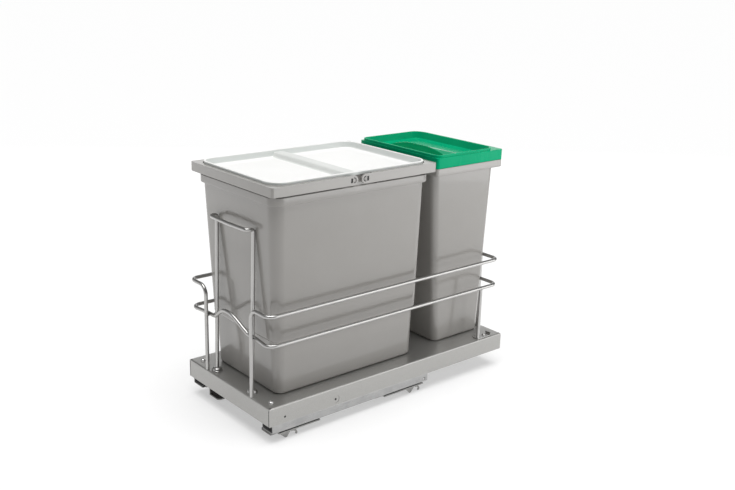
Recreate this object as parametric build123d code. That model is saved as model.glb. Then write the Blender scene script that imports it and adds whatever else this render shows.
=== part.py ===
from build123d import *
import os
from math import atan2, cos, sin, tan

# Pull-out waste unit for a base cabinet. Millimetres, +Z up, front (the side that is pulled) towards -Y.
# The origin is the middle of the unit's outline, on the cabinet floor.

cut_past = 1.0               # cutting blocks run this far past a face

# ---- tray ----
tray_width = 230.0
tray_depth = 500.0
tray_top = 60.0              # deck above the cabinet floor
flange_drop = 29.5
sheet = 1.5
notch_gap = 2.0              # tray's rear flange round the fixed slide members
fold_radius = 2.5
seam_gap = 0.8               # open fold at each corner
relief_radius = 1.6
side_hole_radius = 1.8
side_hole_first = 28.0       # from the front
side_hole_pitch = 96.0
side_hole_depth = 19.5       # below the deck
dimple_radius = 7.0
dimple_depth = 0.4
deck_screw_inset = 18.0      # from the tray's side
deck_screw_setback = 15.0
deck_screw_head = 2.7
deck_screw_head_height = 1.3
deck_screw_round = 0.5
deck_screw_shank = 1.6

# ---- slides ----
slide_length = 310.0
slide_setback = 12.0         # behind the tray's front
slide_width = 27.5
slide_height = 42.0
slide_side_gap = 1.0         # slide to tray flange
member_wall = 1.25
raceway = 3.2                # free width between two nested members
ball_play = 0.05
web_gap = 5.0                # height between two nested webs
arm_step = 3.0               # a nested member's arm ends this much higher
member_setback = 2.0         # inner members start this much behind the drawer member
shoulder_bulge = 1.2         # the drawer member swells out below the tray flange
shoulder_gap = 0.3
shoulder_radius = 1.1
lip_return = 2.2
rear_slot = 5.0
rear_slot_inset = 8.0
rear_slot_rise = 5.5
cage_thickness = 1.2
cage_length = 110.0
cage_height = 14.0
ball_pitch = 42.0
ball_count = 3
cap_thickness = 3.0
cap_overlap = 5.0
cap_lip = 0.6
cap_overhang = 1.2

# ---- floor brackets ----
bracket_sheet = 2.0
bracket_seat_width = 25.0
bracket_seat_height = 13.5
foot_flange_width = 26.0
floor_hole_radius = 2.6
front_bracket_setback = 20.0     # behind the tray's front
front_bracket_length = 77.0
front_bracket_tips = 1.0         # where the outer tips start, from the bracket's front
rear_bracket_setback = 229.0
rear_bracket_length = 86.0
rear_bracket_tips = 46.0
tip_lean = 5.0                   # the tips end this much inside the seat's edge
tab_width = 20.0
tab_point = 15.0
tab_blunt = 3.0
hook_reach = 13.0
hook_thickness = 2.6

# ---- wire basket ----
wire_diameter = 6.0
weld_bite = 0.3
rail_inset = 6.0             # wire centre from the tray's side
rail_rear_inset = 14.0
rail_corner = 13.0
lower_rail_height = 94.0     # above the deck
upper_rail_height = 140.0
leg_spacing = 127.0
leg_setback = 3.2
leg_bend = 15.0
loop_spacing = 100.0
loop_height = 256.5
loop_lean = 5.0
loop_hook = 11.5
loop_bow = 3.0               # the cross wire's middle stands this much further forward
loop_bend = 4.5
loop_corner = 6.5
loop_bow_radius = 400.0
crimp_reach = 4.0            # straight run behind a leg, to each side
crimp_radius = 20.0
hump_height = 22.5
hump_foot = 47.0
hump_foot_radius = 16.0
hump_crest = 12.0
hump_crest_radius = 36.0
loop_foot_radius = 7.8
loop_foot_height = 4.5
loop_foot_round = 2.7
rear_leg_inset = 53.5        # from the tray's rear
rear_upright_spacing = 127.0
foot_plate_width = 14.0
foot_plate_length = 34.0
foot_plate_sheet = 2.5
foot_plate_lip = 8.0

# ---- large bin ----
rest_gap = 0.3
bin_wall = 2.0
large_front = 35.5           # bottom edge, behind the tray's front
large_length = 274.5
large_width = 171.0
large_corner = 20.0          # at the rim
large_bottom_corner = 14.0
large_height = 327.3
large_side_draft = 13.0
large_front_draft = 13.5
large_rear_draft = 1.0
large_step_height = 85.0
large_step = 3.0
step_ramp = 3.0
bottom_round = 5.0
body_height = 299.7          # where the rim's skirt starts
skirt_height = 12.0
skirt_reach = 4.0
flange_thickness = 2.0
skirt_round = 1.5

# ---- bails ----
bail_length = 314.7
bail_width = 220.8
bail_corner = 4.0
bail_height = 14.6
bail_wall = 2.5
bail_top_width = 7.0
bail_gap = 3.4               # bail above the rim flange
bail_split = 22.0            # between the two pivots
pin_radius = 2.2
pin_play = 0.06
pin_spacer_radius = 3.2
pin_spacer_gap = 0.5
snap_slot_radius = 3.0
snap_slot_width = 1.3
catch_gap = 0.6              # web between the pin's hole and the catch
catch_width = 3.4
catch_height = 7.0

# ---- white lid ----
lid_gap = 1.4                # plan gap between lid and bails
lid_corner = 24.0
lid_edge = 5.6
lid_edge_round = 1.2
lid_border = 3.0
lid_recess = 10.8
lid_draft = 3.2
lid_bar_width = 20.0
lid_bar_drop = 1.0           # bar's top below the rim
lid_bar_round = 1.5
lid_wall = 1.8
lid_plug_depth = 9.0
lid_plug_gap = 0.6

# ---- small bin ----
small_rim_rear = 7.3         # in front of the tray's rear
small_rim_length = 154.1
small_rim_width = 195.2
small_rim_corner = 5.0
small_height = 321.0
small_body_height = 301.8
small_band_height = 12.3
small_side_reach = 9.0
small_front_reach = 3.2
small_rear_reach = 9.6
small_side_draft = 13.5
small_front_draft = 30.0
small_rear_draft = 1.0
small_corner = 12.0

# ---- green lid ----
cover_gap = 0.3
cover_skirt = 17.4
cover_wall = 2.0
cover_lip_height = 4.3
cover_lip_width = 2.6
cover_lip_side = 1.6
cover_lip_front = 1.2
cover_lip_rear = 19.0
cover_front_corner = 12.0
cover_rear_corner = 18.0
cover_recess = 12.0
cover_wall_draft = 4.0
cover_edge_round = 1.2
cover_lip_round = 0.8
grip_half_length = 72.0
grip_rise = 12.0
grip_depth = 46.0
grip_setback = 48.0

# ---- derived places ----
front = -tray_depth / 2
half_tray = tray_width / 2
deck_under = tray_top - sheet
flange_bottom = tray_top - flange_drop
wire_radius = wire_diameter / 2
weld_pitch = wire_diameter - weld_bite
slide_front = front + slide_setback
slide_outer = half_tray - sheet - slide_side_gap
slide_centre = slide_outer - slide_width / 2
drawer_bottom = deck_under - slide_height


def save(shape, name):
    export_step(shape, "parts/" + name + ".step")


def save_pair(make, name):
    """A left and a right piece, mirrored about the unit's middle plane."""
    right = make()
    save(right, name + "_right")
    save(mirror(right, about=Plane.YZ), name + "_left")


def block(x0, x1, y0, y1, z0, z1):
    centre = Pos((x0 + x1) / 2, (y0 + y1) / 2, (z0 + z1) / 2)
    return centre * Box(x1 - x0, y1 - y0, z1 - z0)


def outline(half_width, y_front, y_rear, radius, z):
    return Pos(0, (y_front + y_rear) / 2, z) * RectangleRounded(2 * half_width, y_rear - y_front, radius)


def slab(half_width, y_front, y_rear, radius, z0, z1):
    return extrude(outline(half_width, y_front, y_rear, radius, z0), amount=z1 - z0)


def bent_wire(points, radii, closed=False):
    path = FilletPolyline(*points, radius=radii, close=closed)
    section = Plane(origin=path @ 0, z_dir=path % 0) * Circle(wire_radius)
    return sweep(section, path=path)


def straight_wire(x, y, z0, z1):
    return Pos(x, y, (z0 + z1) / 2) * Cylinder(wire_radius, z1 - z0)


# ---- tray ----
def make_tray():
    middle = (tray_top + flange_bottom) / 2
    pan = Pos(0, 0, middle) * Box(tray_width, tray_depth, flange_drop)
    pan = fillet(pan.faces().sort_by(Axis.Z)[-1].edges(), fold_radius)
    inner = Box(tray_width - 2 * sheet, tray_depth - 2 * sheet, flange_drop - sheet)
    inner = Pos(0, 0, middle - sheet / 2) * inner
    inner = fillet(inner.faces().sort_by(Axis.Z)[-1].edges(), fold_radius - sheet)
    pan -= inner
    for side in (-1, 1):
        for end in (-1, 1):
            seam_x = side * (half_tray - sheet - seam_gap / 2)
            seam_y = end * (tray_depth / 2 - sheet)
            seam_height = flange_drop - fold_radius
            seam = Box(seam_gap, 2 * sheet + cut_past, seam_height)
            pan -= Pos(seam_x, seam_y, flange_bottom + seam_height / 2) * seam
            relief = Pos(side * (half_tray - fold_radius), end * (tray_depth / 2 - fold_radius), tray_top)
            pan -= relief * Cylinder(relief_radius, 3 * fold_radius)
        for step in range(2):
            hole_y = front + side_hole_first + step * side_hole_pitch
            place = Pos(side * half_tray, hole_y, tray_top - side_hole_depth) * Rot(0, 90, 0)
            pan -= place * Cylinder(side_hole_radius, 6 * sheet)
            if step == 1:
                pan -= place * Cylinder(dimple_radius, 2 * dimple_depth)
        pan -= screw_place(side) * Cylinder(deck_screw_shank, 4 * sheet)
        notch = 2 * (cabinet_half + notch_gap)
        notch_height = cabinet_top + notch_gap - flange_bottom + sheet
        notch_z = flange_bottom - sheet + notch_height / 2
        pan -= Pos(side * slide_centre, (tray_depth - sheet) / 2, notch_z) * Box(notch, 3 * sheet, notch_height)
    return pan


def screw_place(side):
    return Pos(side * (half_tray - deck_screw_inset), front + deck_screw_setback, tray_top)


def make_screws():
    screws = []
    for side in (-1, 1):
        head = Pos(0, 0, deck_screw_head_height / 2) * Cylinder(deck_screw_head, deck_screw_head_height)
        head = fillet(head.faces().sort_by(Axis.Z)[-1].edges(), deck_screw_round)
        shank_length = sheet + member_wall
        shank = Pos(0, 0, -shank_length / 2) * Cylinder(deck_screw_shank - ball_play, shank_length)
        screws.append(screw_place(side) * (head + shank))
    return Compound(screws)


# ---- slides: three nested channels on each side, seen along Y, drawn about the slide's own centre ----
def channel(half_width, z0, z1, wall, opens_down=True):
    """An upright U section in the XZ plane."""
    outer = Pos(0, (z0 + z1) / 2) * Rectangle(2 * half_width, z1 - z0)
    shift = -wall if opens_down else wall
    inner = Pos(0, (z0 + z1) / 2 + shift) * Rectangle(2 * (half_width - wall), z1 - z0)
    return outer - inner


def along_slide(section, y0, y1):
    """Extrude a section drawn in the XZ plane from y0 to y1 at the right-hand slide."""
    plane = Plane(origin=(slide_centre, y0, 0), x_dir=(1, 0, 0), z_dir=(0, -1, 0))
    return extrude(plane * section, amount=-(y1 - y0))


def drawer_section():
    half = slide_width / 2
    section = channel(half, drawer_bottom, deck_under, member_wall)
    shoulder_top = flange_bottom - shoulder_gap
    shoulder_middle = (drawer_bottom + shoulder_top) / 2
    bulge = Pos(half, shoulder_middle) * Rectangle(2 * shoulder_bulge, shoulder_top - drawer_bottom)
    bulge = fillet(bulge.vertices().group_by(Axis.X)[-1], shoulder_radius)
    hollow_height = shoulder_top - drawer_bottom - 2 * member_wall
    hollow = Pos(half - member_wall, shoulder_middle) * Rectangle(2 * shoulder_bulge, hollow_height)
    lip = Pos(-half + lip_return / 2, drawer_bottom + member_wall / 2) * Rectangle(lip_return, member_wall)
    outer_lip = Pos(half - lip_return / 2, drawer_bottom + member_wall / 2) * Rectangle(lip_return, member_wall)
    return section + bulge - hollow + lip + outer_lip


def make_drawer_member():
    member = along_slide(drawer_section(), slide_front, slide_front + slide_length)
    slot_y = slide_front + slide_length - rear_slot_inset
    slot_z = drawer_bottom + rear_slot_rise
    member -= Pos(slide_centre + slide_width / 2, slot_y, slot_z) * Box(6 * member_wall, rear_slot, rear_slot)
    hole = screw_place(1) * Pos(0, 0, -sheet - member_wall / 2)
    return member - hole * Cylinder(deck_screw_shank, 2 * member_wall)


middle_half = slide_width / 2 - member_wall - raceway
middle_top = deck_under - member_wall - web_gap
middle_bottom = drawer_bottom + arm_step
cabinet_half = middle_half - member_wall - raceway
cabinet_top = middle_top - member_wall - web_gap
member_front = slide_front + member_setback
member_length = slide_length - member_setback


def make_middle_member():
    section = channel(middle_half, middle_bottom, middle_top, member_wall)
    return along_slide(section, member_front, member_front + member_length)


def make_cabinet_member():
    section = channel(cabinet_half, bracket_seat_height, cabinet_top, member_wall, opens_down=False)
    return along_slide(section, member_front, member_front + member_length)


def make_cage(inner_half, web_z):
    """Inverted U strip between two nested members, with the balls held in its two arms."""
    strip_x = inner_half + raceway / 2
    half = strip_x + cage_thickness / 2
    top = web_z + cage_thickness / 2
    y_middle = member_front + member_length / 2
    cage = along_slide(channel(half, top - cage_height, top, cage_thickness),
                       y_middle - cage_length / 2, y_middle + cage_length / 2)
    balls = []
    for side in (-1, 1):
        for step in range(ball_count):
            ball_y = y_middle + (step - (ball_count - 1) / 2) * ball_pitch
            place = Pos(slide_centre + side * strip_x, ball_y, top - cage_height / 2)
            balls.append(place * Rot(0, 90, 0) * Sphere(raceway / 2 - ball_play))
    return cage + balls


def make_inner_cage():
    return make_cage(cabinet_half, cabinet_top + web_gap / 2)


def make_outer_cage():
    return make_cage(middle_half, middle_top + web_gap / 2)


def make_front_cap():
    """Plastic end cap: a plate over the channel's end, and a collar round its lower outer wall."""
    x0 = slide_centre - slide_width / 2
    x1 = slide_outer + shoulder_bulge
    z1 = flange_bottom - shoulder_gap
    plate_y = slide_front - cap_thickness
    collar = block(x0 - cap_lip, x1 + cap_lip, plate_y, slide_front + cap_overlap, drawer_bottom - cap_overhang, z1)
    collar = fillet(collar.edges().filter_by(Axis.Z).group_by(Axis.Y)[0], cap_thickness / 2)
    channel_end = block(x0, x1, slide_front, slide_front + 2 * cap_overlap, drawer_bottom, z1 + cap_overhang)
    opening = block(x0 + lip_return, slide_outer - lip_return, slide_front, slide_front + 2 * cap_overlap,
                    drawer_bottom - 2 * cap_overhang, z1)
    tongue = block(x0, slide_outer, plate_y, slide_front, z1, deck_under - member_wall)
    return collar - channel_end - opening + tongue


# ---- floor brackets ----
seat_outer = slide_centre + bracket_seat_width / 2
seat_inner = slide_centre - bracket_seat_width / 2
floor_hole_x = seat_inner - foot_flange_width / 2


def make_bracket(y0, length, tips):
    """Seat under the slide, a riser down to the foot flange on the floor, and two outer tips."""
    y1 = y0 + length
    top = bracket_seat_height
    seat = block(seat_inner, seat_outer, y0, y1, top - bracket_sheet, top)
    riser = block(seat_inner, seat_inner + bracket_sheet, y0, y1, 0, top)
    foot = block(seat_inner - foot_flange_width, seat_inner + bracket_sheet, y0, y1, 0, bracket_sheet)
    foot = fillet(foot.edges().filter_by(Axis.Z).group_by(Axis.X)[0], 3 * bracket_sheet)
    hole = Pos(floor_hole_x, (y0 + y1) / 2, bracket_sheet / 2) * Cylinder(floor_hole_radius, 2 * bracket_sheet)
    return seat + riser + foot + make_tips(y0 + tips) - hole


def make_tips(y0):
    """A pointed tab and a curled hook, cut from the seat's outer edge and bent down to the floor."""
    drop = bracket_seat_height - bracket_sheet / 2
    lean = atan2(tip_lean, drop)
    reach = drop / cos(lean) - bracket_sheet / 2 * tan(lean)
    plane = Plane(origin=(seat_outer - bracket_sheet / 2, y0, drop), x_dir=(0, 1, 0),
                  z_dir=(cos(lean), 0, -sin(lean)))
    tab = Polygon((0, 0), (tab_width, 0), (tab_point + tab_blunt / 2, -reach), (tab_point - tab_blunt / 2, -reach),
                  align=None)
    hook_x = tab_width + hook_thickness
    quarter = Pos(hook_x, -reach) * Rectangle(hook_reach, reach, align=(Align.MIN, Align.MIN))
    curl = Pos(hook_x, -reach) * (Circle(hook_reach) - Circle(hook_reach - hook_thickness)) & quarter
    root = Pos(hook_x, 0) * Rectangle(hook_reach / 2, hook_thickness, align=(Align.MIN, Align.MAX))
    return extrude(plane * (tab + curl + root), amount=bracket_sheet / 2, both=True)


def save_brackets():
    save_pair(lambda: make_bracket(front + front_bracket_setback, front_bracket_length, front_bracket_tips),
              "floor_bracket_front")
    save_pair(lambda: make_bracket(front + rear_bracket_setback, rear_bracket_length, rear_bracket_tips),
              "floor_bracket_rear")


# ---- wire basket ----
rail_half = half_tray - rail_inset
rail_rear = tray_depth / 2 - rail_rear_inset
leg_y = front + leg_setback
lower_front = leg_y + weld_pitch
loop_y = lower_front + weld_pitch       # loop wire where it crosses the lower rail
lower_z = tray_top + lower_rail_height
upper_z = tray_top + upper_rail_height


def make_upper_rail():
    leg_half = leg_spacing / 2
    points = [
        (leg_half, leg_y, tray_top),
        (leg_half, leg_y, upper_z),
        (rail_half, leg_y, upper_z),
        (rail_half, rail_rear, upper_z),
        (-rail_half, rail_rear, upper_z),
        (-rail_half, leg_y, upper_z),
        (-leg_half, leg_y, upper_z),
        (-leg_half, leg_y, tray_top),
    ]
    radii = [leg_bend] + 4 * [rail_corner] + [leg_bend]
    return bent_wire(points, radii)


def make_lower_rail():
    """Closed rail, crimped back behind the legs; the finger hump between them leans forward."""
    crest_z = lower_z + hump_height
    crimp_x = leg_spacing / 2 + crimp_reach
    points = [
        (0, rail_rear, lower_z),
        (-rail_half, rail_rear, lower_z),
        (-rail_half, leg_y, lower_z),
        (-crimp_x, lower_front, lower_z),
        (-hump_foot, lower_front, lower_z),
        (-hump_crest, leg_y, crest_z),
        (hump_crest, leg_y, crest_z),
        (hump_foot, lower_front, lower_z),
        (crimp_x, lower_front, lower_z),
        (rail_half, leg_y, lower_z),
        (rail_half, rail_rear, lower_z),
        (0, rail_rear, lower_z),
    ]
    bends = [rail_corner, rail_corner, crimp_radius, hump_foot_radius, hump_crest_radius]
    return bent_wire_ring(points, bends + bends[::-1])


def bent_wire_ring(points, radii):
    """A closed wire made as two half rings that meet face to face, then joined."""
    middle = len(points) // 2
    crest = tuple((a + b) / 2 for a, b in zip(points[middle - 1], points[middle]))
    first = bent_wire(points[:middle] + [crest], radii[:middle - 1])
    second = bent_wire([crest] + points[middle:], radii[middle - 1:])
    return first + second


def make_front_loop():
    """Tall loop: both uprights lean back, and the cross wire is hooked forward at the top."""
    half = loop_spacing / 2
    top = tray_top + loop_height
    slope = loop_lean / loop_height
    foot_y = loop_y - slope * lower_rail_height
    head_y = foot_y + loop_lean
    hook_y = head_y - loop_hook
    points = [(-half, foot_y, tray_top), (-half, head_y, top), (-half, hook_y, top), (0, hook_y - loop_bow, top),
              (half, hook_y, top), (half, head_y, top), (half, foot_y, tray_top)]
    return bent_wire(points, [loop_bend, loop_corner, loop_bow_radius, loop_corner, loop_bend])


def make_loop_feet():
    half = loop_spacing / 2
    foot_y = loop_y - loop_lean / loop_height * lower_rail_height
    loop = make_front_loop()
    feet = []
    for side in (-1, 1):
        boss = Pos(side * half, foot_y, tray_top + loop_foot_height / 2)
        boss *= Cylinder(loop_foot_radius, loop_foot_height)
        boss = fillet(boss.faces().sort_by(Axis.Z)[-1].edges(), loop_foot_round)
        feet.append(boss - loop)
    return Compound([foot.solid() for foot in feet])


rear_leg_y = tray_depth / 2 - rear_leg_inset


def make_rear_leg():
    """Leg welded under the lower rail, on a foot plate with a turned-up rear lip."""
    plate_top = tray_top + foot_plate_sheet
    leg = straight_wire(rail_half, rear_leg_y, plate_top - weld_bite, lower_z - weld_pitch / 2)
    x1 = rail_half + wire_radius
    x0 = x1 - foot_plate_width
    y0 = rear_leg_y - wire_radius
    y1 = y0 + foot_plate_length
    plate = block(x0, x1, y0, y1, tray_top, plate_top)
    lip = block(x0, x1, y1 - foot_plate_sheet, y1, tray_top, tray_top + foot_plate_lip)
    return leg + plate + lip


def make_rear_upright():
    y = rail_rear + weld_pitch
    return straight_wire(rear_upright_spacing / 2, y, tray_top, upper_z + wire_radius)


# ---- large bin ----
large_floor = tray_top + rest_gap
large_top = large_floor + large_height
large_body_top = large_floor + body_height
large_y0 = front + large_front
large_y1 = large_y0 + large_length
large_half = large_width / 2


def large_outline(share, step, inset, z):
    """Body outline: share is how much of the draft is used, step is the widening above the low step."""
    half = large_half + share * large_side_draft + step - inset
    y0 = large_y0 - share * large_front_draft - step + inset
    y1 = large_y1 + share * large_rear_draft + step - inset
    corner = large_bottom_corner + share * (large_corner - large_bottom_corner)
    return outline(half, y0, y1, corner - inset, z)


def large_body(inset, z_bottom, z_top):
    step_share = large_step_height / body_height
    step_z = large_floor + large_step_height
    return loft([
        large_outline((z_bottom - large_floor) / body_height, 0, inset, z_bottom),
        large_outline(step_share, 0, inset, step_z),
        large_outline(step_share, large_step, inset, step_z + step_ramp),
        large_outline(1, large_step, inset, large_body_top),
        large_outline(1, large_step, inset, z_top),
    ], ruled=True)


rim_half = large_half + large_side_draft + large_step
rim_y0 = large_y0 - large_front_draft - large_step
rim_y1 = large_y1 + large_rear_draft + large_step
flange_top = large_body_top + skirt_height
bail_middle = (rim_y0 + rim_y1) / 2
bail_half = bail_width / 2
bail_bottom = flange_top + bail_gap
bail_top = bail_bottom + bail_height
pivot_z = bail_bottom + bail_height / 2
pivot_y = bail_split / 2


def make_large_bin():
    shell = large_body(0, large_floor, large_top)
    shell = fillet(shell.faces().sort_by(Axis.Z)[0].edges(), bottom_round)
    shell -= large_body(bin_wall, large_floor + bin_wall, large_top)
    rim = make_rim()
    pins = None
    for side in (-1, 1):
        for end in (-1, 1):
            pin = make_pin(side, bail_middle + end * pivot_y)
            pins = pin if pins is None else pins + pin
    return shell + rim + pins


def make_rim():
    """Outward flange with a turned-down skirt round the bin's body."""
    solid = slab(rim_half + skirt_reach, rim_y0 - skirt_reach, rim_y1 + skirt_reach, large_corner,
                 large_body_top, flange_top)
    solid = fillet(solid.faces().sort_by(Axis.Z)[0].edges(), skirt_round)
    bite = bin_wall / 2
    core = slab(rim_half - bite, rim_y0 + bite, rim_y1 - bite, large_corner - bite, large_body_top, flange_top)
    hollow = skirt_reach - bin_wall
    under = slab(rim_half + hollow, rim_y0 - hollow, rim_y1 + hollow, large_corner, large_body_top,
                 flange_top - flange_thickness)
    return solid - core - under


def make_pin(side, y):
    """Pivot pin with its spacer, standing out of the rim's upstand through the bail's lug."""
    wall_x = rim_half - bin_wall / 2
    spacer_end = bail_half - bail_wall - pin_spacer_gap
    spacer = make_axle(side, y, wall_x, spacer_end, pin_spacer_radius)
    return spacer + make_axle(side, y, wall_x, bail_half, pin_radius)


def make_axle(side, y, x0, x1, radius):
    return Pos(side * (x0 + x1) / 2, y, pivot_z) * Rot(0, 90, 0) * Cylinder(radius, x1 - x0)


def make_bail(end):
    """One carrying bail: a U round its half of the rim, ending in a round lug at each pivot."""
    outer_y = bail_middle + end * bail_length / 2
    lug_y = bail_middle + end * pivot_y
    y0, y1 = sorted((outer_y, lug_y))
    frame = slab(bail_half, bail_middle - bail_length / 2, bail_middle + bail_length / 2, bail_corner,
                 bail_bottom, bail_top)
    inner_half = bail_half - bail_wall
    inner_reach = bail_length / 2 - bail_wall
    cut_z0 = bail_bottom - cut_past
    cut_z1 = bail_top + cut_past
    hollow = block(-inner_half, inner_half, bail_middle - inner_reach, bail_middle + inner_reach,
                   cut_z0, bail_top - bail_wall)
    top_reach = bail_length / 2 - bail_top_width
    window = slab(bail_half - bail_top_width, bail_middle - top_reach, bail_middle + top_reach,
                  lid_corner + lid_gap, cut_z0, cut_z1)
    bail = frame - hollow - window
    bail &= block(-tray_width, tray_width, y0, y1, cut_z0, cut_z1)
    lug_radius = bail_height / 2
    for side in (-1, 1):
        relief_y = lug_y + end * 2 * lug_radius
        r0, r1 = sorted((lug_y - end * lug_radius, relief_y))
        bail -= block(*sorted((side * (inner_half - bail_top_width), side * inner_half)), r0, r1,
                      bail_bottom, cut_z1)
        bail += make_axle(side, lug_y, inner_half, bail_half, lug_radius)
        bail -= make_axle(side, lug_y, inner_half - cut_past, bail_half + cut_past, pin_radius + pin_play)
        bail -= snap_slot(side, lug_y, end)
        catch_y = lug_y + end * (pin_radius + catch_gap + catch_width / 2)
        bail -= Pos(side * bail_half, catch_y, pivot_z) * Box(4 * bail_wall, catch_width, catch_height)
    return bail


def snap_slot(side, y, end):
    """C-shaped slot round the pivot that lets the lug spring over the pin."""
    inside = bail_half - 2 * bail_wall
    ring = make_axle(side, y, inside, bail_half + cut_past, snap_slot_radius + snap_slot_width)
    ring -= make_axle(side, y, inside - cut_past, bail_half + 2 * cut_past, snap_slot_radius)
    reach = 2 * snap_slot_radius
    keep = block(-tray_width, tray_width, *sorted((y - end * reach, y + end * snap_slot_radius / 3)),
                 pivot_z - reach, pivot_z + reach)
    return ring & keep


# ---- white lid ----
lid_under = large_top + rest_gap
lid_top = lid_under + lid_edge
lid_half = bail_half - bail_top_width - lid_gap
lid_y0 = bail_middle - bail_length / 2 + bail_top_width + lid_gap
lid_y1 = 2 * bail_middle - lid_y0


def make_white_lid():
    """Moulded lid: a thin raised rim round a sunk floor, a bar to hold across it, and a plug under it."""
    lid = slab(lid_half, lid_y0, lid_y1, lid_corner, lid_under, lid_top)
    lid = fillet(lid.faces().sort_by(Axis.Z)[-1].edges(), lid_edge_round)
    plug_inset = bin_wall + lid_plug_gap
    plug_half = rim_half - plug_inset
    plug_y0 = rim_y0 + plug_inset
    plug_y1 = rim_y1 - plug_inset
    plug_corner = large_corner - plug_inset
    plug_bottom = lid_under - lid_plug_depth
    lid += slab(plug_half, plug_y0, plug_y1, plug_corner, plug_bottom, lid_under)
    floor_z = lid_top - lid_recess
    pocket = tapered_pocket(lid_half - lid_border, lid_y0 + lid_border, lid_y1 - lid_border,
                            lid_corner - lid_border, floor_z, lid_top, lid_draft)
    lid -= pocket - make_lid_bar(floor_z)
    hollow = slab(plug_half - lid_wall, plug_y0 + lid_wall, plug_y1 - lid_wall, plug_corner - lid_wall,
                  plug_bottom, floor_z - lid_wall)
    return lid - hollow


def make_lid_bar(floor_z):
    top = lid_top - lid_bar_drop
    half = lid_bar_width / 2
    plane = Plane(origin=(0, bail_middle, 0), x_dir=(0, 1, 0), z_dir=(1, 0, 0))
    foot = half + lid_draft
    profile = Polygon((-foot, floor_z), (foot, floor_z), (half, top), (-half, top), align=None)
    bar = extrude(plane * profile, amount=lid_half, both=True)
    return fillet(bar.faces().sort_by(Axis.Z)[-1].edges().filter_by(Axis.X), lid_bar_round)


def tapered_pocket(half, y0, y1, corner, z0, z1, draft):
    lower = outline(half - draft, y0 + draft, y1 - draft, corner - draft, z0)
    return loft([lower, outline(half, y0, y1, corner, z1)], ruled=True)


# ---- small bin ----
small_rim_y1 = tray_depth / 2 - small_rim_rear
small_rim_y0 = small_rim_y1 - small_rim_length
small_top = large_floor + small_height
small_body_top = large_floor + small_body_height
small_half = small_rim_width / 2 - small_side_reach
small_y0 = small_rim_y0 + small_front_reach
small_y1 = small_rim_y1 - small_rear_reach
band_top = small_body_top + small_band_height


def small_outline(share, inset, z):
    half = small_half - share * small_side_draft - inset
    y0 = small_y0 + share * small_front_draft + inset
    y1 = small_y1 - share * small_rear_draft - inset
    return outline(half, y0, y1, small_corner - inset, z)


def small_body(inset, z_bottom):
    share = (small_body_top - z_bottom) / small_body_height
    return loft([small_outline(share, inset, z_bottom), small_outline(0, inset, small_body_top),
                 small_outline(0, inset, small_top)], ruled=True)


def make_small_bin():
    shell = small_body(0, large_floor)
    shell = fillet(shell.faces().sort_by(Axis.Z)[0].edges(), bottom_round)
    shell -= small_body(bin_wall, large_floor + bin_wall)
    half = small_rim_width / 2
    band = slab(half, small_rim_y0, small_rim_y1, small_rim_corner, small_body_top, band_top)
    under = slab(half - bin_wall, small_rim_y0 + bin_wall, small_rim_y1 - bin_wall,
                 small_rim_corner - bin_wall, small_body_top,
                 band_top - flange_thickness)
    core = slab(small_half - bin_wall / 2, small_y0 + bin_wall / 2, small_y1 - bin_wall / 2,
                small_corner - bin_wall / 2, small_body_top, band_top)
    return shell + (band - under - core)


# ---- green lid ----
cover_bottom = band_top + cover_gap
cover_deck = cover_bottom + cover_skirt
cover_top = cover_deck + cover_lip_height
cover_half = small_rim_width / 2


def cover_outline(inset, z):
    """Outline of the lip's outer edge, moved inwards by inset: tight corners in front, wide ones behind."""
    half = cover_half - cover_lip_side - inset
    y0 = small_rim_y0 + cover_lip_front + inset
    y1 = small_rim_y1 - cover_lip_rear - inset
    plan = Pos(0, (y0 + y1) / 2) * Rectangle(2 * half, y1 - y0)
    corners = plan.vertices().group_by(Axis.Y)
    plan = fillet(corners[0], cover_front_corner - inset)
    plan = fillet(plan.vertices().group_by(Axis.Y)[-1], cover_rear_corner - inset)
    return Pos(0, 0, z) * plan


def cover_tray(inset, z0, z1):
    """The sunk tray's tapered solid, inset inwards from the lip's outer edge at its top."""
    return loft([cover_outline(inset + cover_wall_draft, z0), cover_outline(inset, z1)], ruled=True)


def make_green_lid():
    """Lid with a skirt, a raised lip round a sunk tray, and a crescent grip standing in the tray."""
    lid = slab(cover_half, small_rim_y0, small_rim_y1, small_rim_corner, cover_bottom, cover_deck)
    lid = fillet(lid.faces().sort_by(Axis.Z)[-1].edges(), cover_edge_round)
    lip = extrude(cover_outline(0, cover_deck - cover_wall), amount=cover_wall + cover_lip_height)
    lid += fillet(lip.faces().sort_by(Axis.Z)[-1].edges(), cover_lip_round)
    floor_z = cover_top - cover_recess
    under = slab(cover_half - cover_wall, small_rim_y0 + cover_wall, small_rim_y1 - cover_wall,
                 small_rim_corner - cover_wall, cover_bottom, cover_deck - cover_wall)
    lid -= under - cover_tray(cover_lip_width - cover_wall, floor_z - cover_wall, cover_deck)
    lid -= cover_tray(cover_lip_width, floor_z, cover_top)
    return lid + make_grip(floor_z)


def make_grip(floor_z):
    """Arched front wall with a top that falls away to the rear."""
    chord = grip_half_length
    arch_radius = (chord ** 2 + grip_rise ** 2) / (2 * grip_rise)
    y0 = small_rim_y0 + grip_setback
    arch = Pos(0, y0, floor_z + grip_rise - arch_radius) * Rot(90, 0, 0) * Cylinder(arch_radius, 2 * grip_depth)
    body = block(-chord, chord, y0, y0 + grip_depth, floor_z - cover_wall / 2, floor_z + grip_rise)
    slope = Plane(origin=(0, y0 + grip_depth, floor_z - cover_wall / 2), z_dir=(0, grip_rise, grip_depth))
    return split(arch & body, bisect_by=slope, keep=Keep.BOTTOM)


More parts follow.
